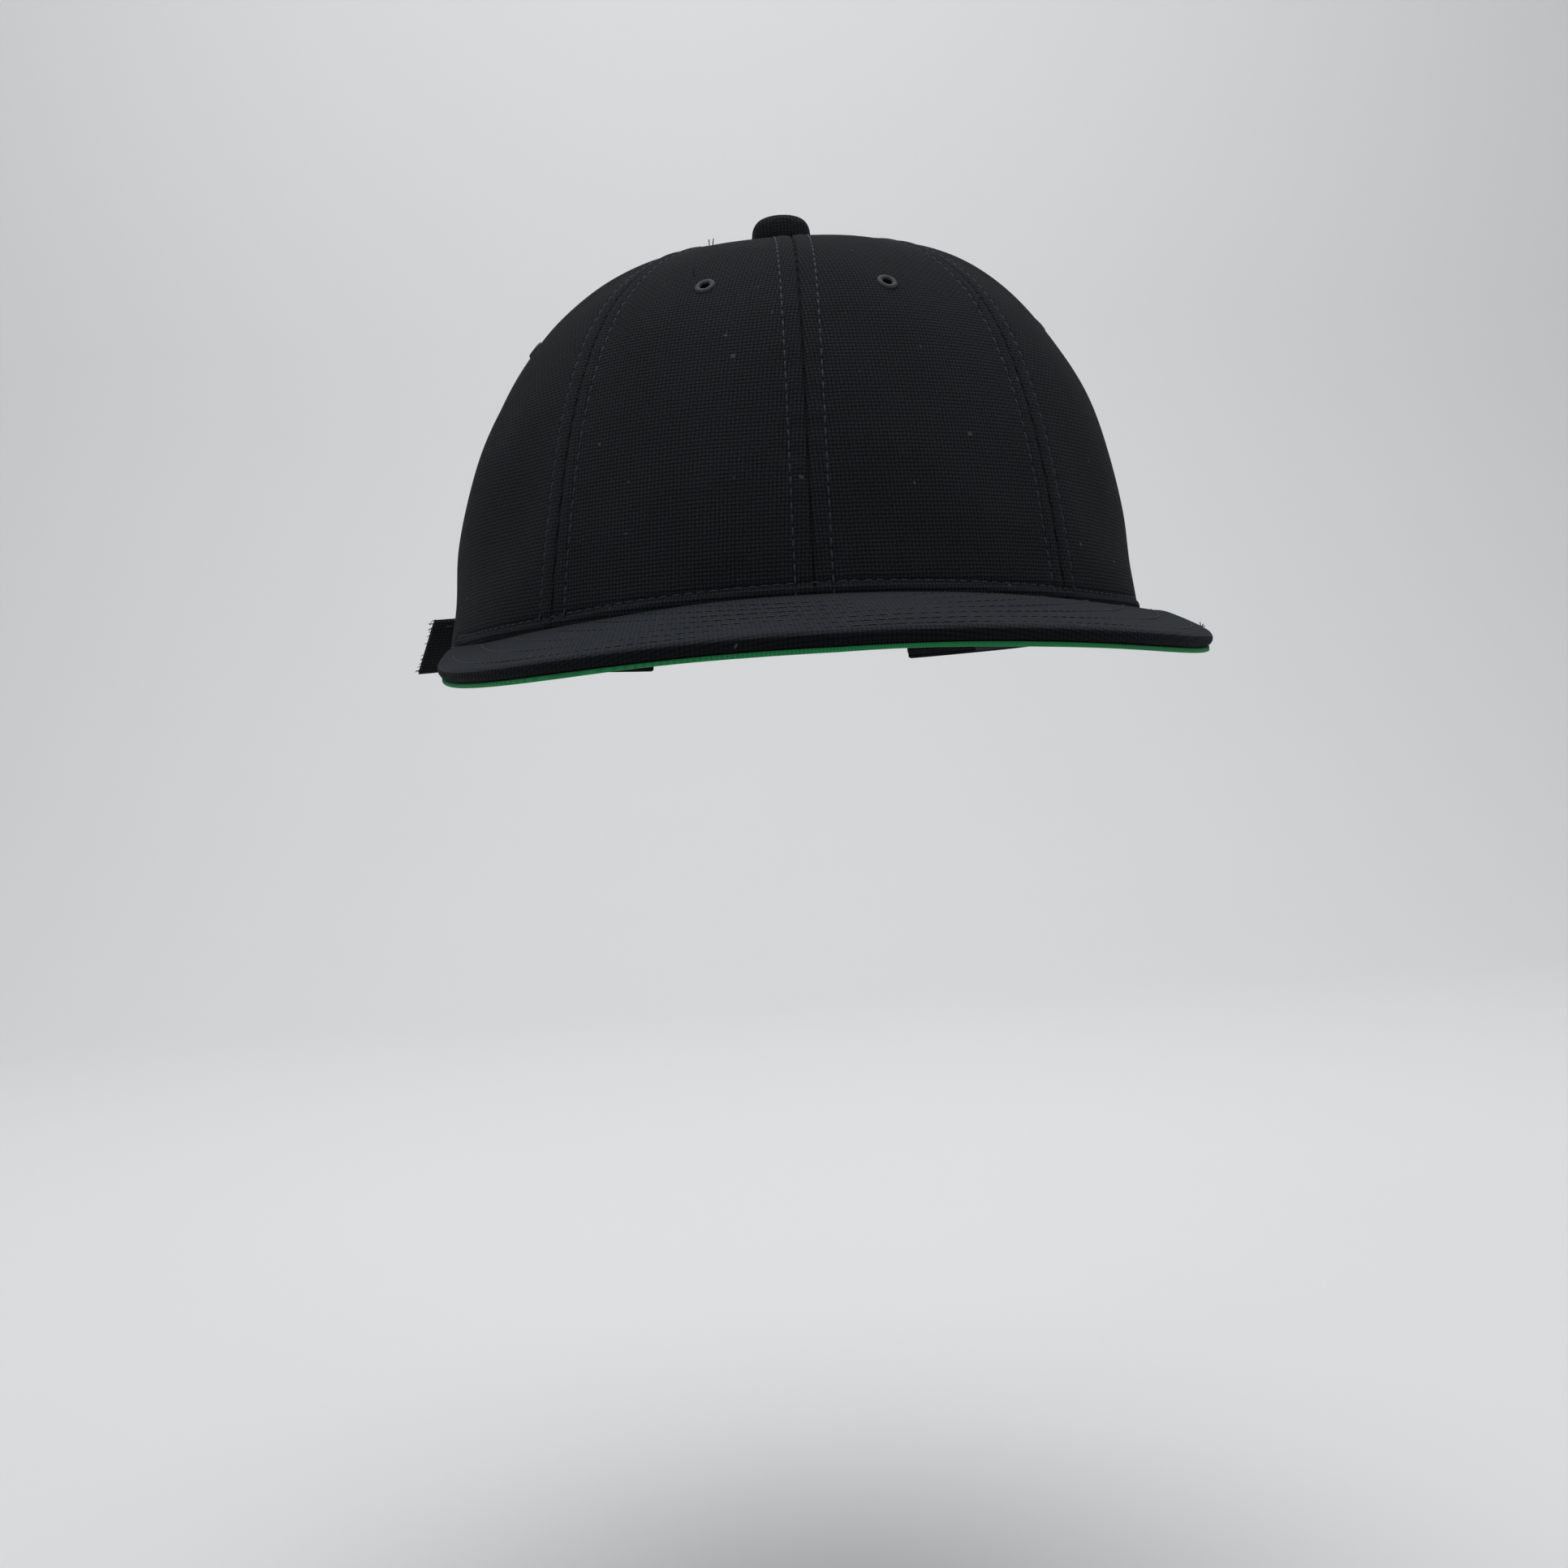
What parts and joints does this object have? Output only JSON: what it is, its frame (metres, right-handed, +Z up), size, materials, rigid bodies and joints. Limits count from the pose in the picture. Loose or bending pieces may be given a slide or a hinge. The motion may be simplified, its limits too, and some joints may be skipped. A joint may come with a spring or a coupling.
{
  "type": "bump cap",
  "caption": "Soft six-panel bump cap with a stitched visor, covered button, adjustable back strap with cam-lever buckle, and a removable padded hard insert.",
  "frame": {"origin": "centre of the head opening, in the plane of the crown's rim", "axes": "+X to the wearer's left, -Y to the front where the visor is, +Z up out of the crown"},
  "size_m": [0.1947, 0.2636, 0.1254],
  "materials": {
    "crown_fabric": "matte basket-woven cotton, near-black navy charcoal",
    "visor_fabric": "same weave, slate sheen on the flat top face",
    "undervisor_fabric": "plain green twill",
    "seam_tape": "folded cotton tape",
    "eyelet_thread": "grey embroidery thread",
    "sweatband_fabric": "soft cotton twill",
    "band_backing": "white non-woven",
    "label_fabric": "blank woven label",
    "visor_board": "polyethylene sheet",
    "button_metal": "zinc-plated steel",
    "buckle_metal": "antique brass",
    "insert_plastic": "fine-textured black ABS",
    "foam": "charcoal EVA foam"
  },
  "bodies": {
    "crown": {"back_arch_binding": "seam_tape", "back_centre_tape": "seam_tape", "back_panel_left": "crown_fabric", "back_panel_right": "crown_fabric", "buckle_frame": "buckle_metal", "buckle_pin": "buckle_metal", "buckle_tab": "crown_fabric", "button_core": "button_metal", "button_cover": "crown_fabric", "button_post": "button_metal", "front_centre_tape": "seam_tape", "front_eyelet_left": "eyelet_thread", "front_eyelet_right": "eyelet_thread", "front_panel_left": "crown_fabric", "front_panel_right": "crown_fabric", "front_tape_left": "seam_tape", "front_tape_right": "seam_tape", "rear_eyelet_left": "eyelet_thread", "rear_eyelet_right": "eyelet_thread", "rear_tape_left": "seam_tape", "rear_tape_right": "seam_tape", "side_eyelet_left": "eyelet_thread", "side_eyelet_right": "eyelet_thread", "side_panel_left": "crown_fabric", "side_panel_right": "crown_fabric", "size_label": "label_fabric", "sweatband": "sweatband_fabric", "sweatband_backing": "band_backing", "undervisor": "undervisor_fabric", "visor_board": "visor_board", "visor_top_cover": "visor_fabric"},
    "insert": {"insert_shell": "insert_plastic", "crown_pad": "foam", "front_pad": "foam", "rear_pad": "foam", "left_pad": "foam", "right_pad": "foam"},
    "strap": {"back_strap": "crown_fabric"},
    "lever": {"buckle_lever": "buckle_metal"}
  },
  "joints": [
    {"name": "insert_slide", "type": "slide", "parent": "crown", "child": "insert", "axis": [0, 0, -1], "range_m": [0, 0.14]},
    {"name": "strap_adjust", "type": "hinge", "parent": "crown", "child": "strap", "pos_m": [-0.0036, 0.02, 0.0125], "axis": [0, 0, 1], "range_deg": [-4, 8]},
    {"name": "lever_hinge", "type": "hinge", "parent": "crown", "child": "lever", "pos_m": [-0.03276, 0.09556, 0.01291], "axis": [0.0435, -0.1469, 0.9882], "range_deg": [0, 100]}
  ]
}
